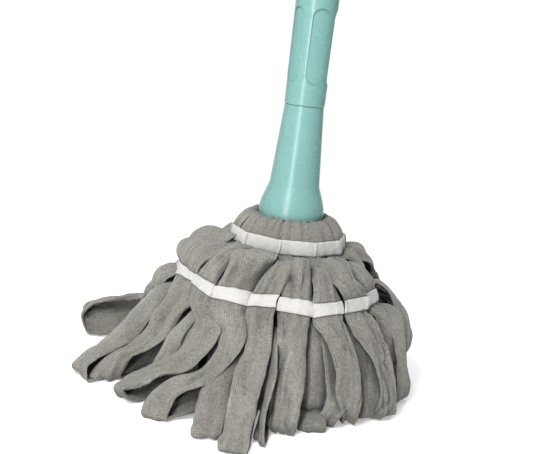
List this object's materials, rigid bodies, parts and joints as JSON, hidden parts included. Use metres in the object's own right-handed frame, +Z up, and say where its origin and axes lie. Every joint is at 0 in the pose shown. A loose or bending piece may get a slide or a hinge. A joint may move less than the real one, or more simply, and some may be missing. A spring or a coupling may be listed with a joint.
{
  "type": "string mop",
  "caption": "Self-wringing floor mop: looped cloth strips hang from a flared sleeve that slides up the steel pole and turns to wring them.",
  "frame": {"origin": "on the floor, on the pole's axis, under the foot of the pole", "axes": "+Z up along the pole; the strips reach furthest towards -X and -Y"},
  "size_m": [0.3286, 0.3286, 1.33],
  "materials": {
    "turquoise_plastic": "satin",
    "dark_plastic": "satin",
    "white_plastic": "satin",
    "pole_steel": "satin",
    "bare_steel": "satin",
    "grey_cloth": "matte",
    "white_ribbon": "matte"
  },
  "bodies": {
    "pole": {"pole_lower": "pole_steel", "pole_upper": "pole_steel", "pole_connector": "dark_plastic", "hand_grip": "turquoise_plastic", "end_cap": "turquoise_plastic", "stop_collar": "dark_plastic", "rest_ring": "bare_steel", "hub_plug": "dark_plastic", "hub_ring": "dark_plastic", "hub_screw": "bare_steel", "inner_strips": "grey_cloth"},
    "carriage": {"slide_bush": "white_plastic", "ratchet_wheel": "bare_steel", "thrust_washer": "bare_steel", "retaining_clip": "bare_steel"},
    "sleeve": {"grip_sleeve": "turquoise_plastic", "sleeve_cap": "turquoise_plastic", "skirt": "turquoise_plastic", "pawl_ring": "white_plastic", "strip_ring": "dark_plastic", "ribbon_upper": "white_ribbon", "ribbon_lower": "white_ribbon", "strip_01": "grey_cloth", "strip_02": "grey_cloth", "strip_03": "grey_cloth", "strip_04": "grey_cloth", "strip_05": "grey_cloth", "strip_06": "grey_cloth", "strip_07": "grey_cloth", "strip_08": "grey_cloth", "strip_09": "grey_cloth", "strip_10": "grey_cloth", "strip_11": "grey_cloth", "strip_12": "grey_cloth", "strip_13": "grey_cloth", "strip_14": "grey_cloth", "strip_15": "grey_cloth", "strip_16": "grey_cloth", "strip_17": "grey_cloth", "strip_18": "grey_cloth", "strip_19": "grey_cloth", "strip_20": "grey_cloth"}
  },
  "joints": [
    {"name": "sleeve_slide", "type": "slide", "parent": "pole", "child": "carriage", "axis": [0, 0, 1], "range_m": [0, 0.22]},
    {"name": "sleeve_twist", "type": "hinge", "parent": "carriage", "child": "sleeve", "pos_m": [0, 0, 0.3], "axis": [0, 0, 1], "continuous": true}
  ]
}
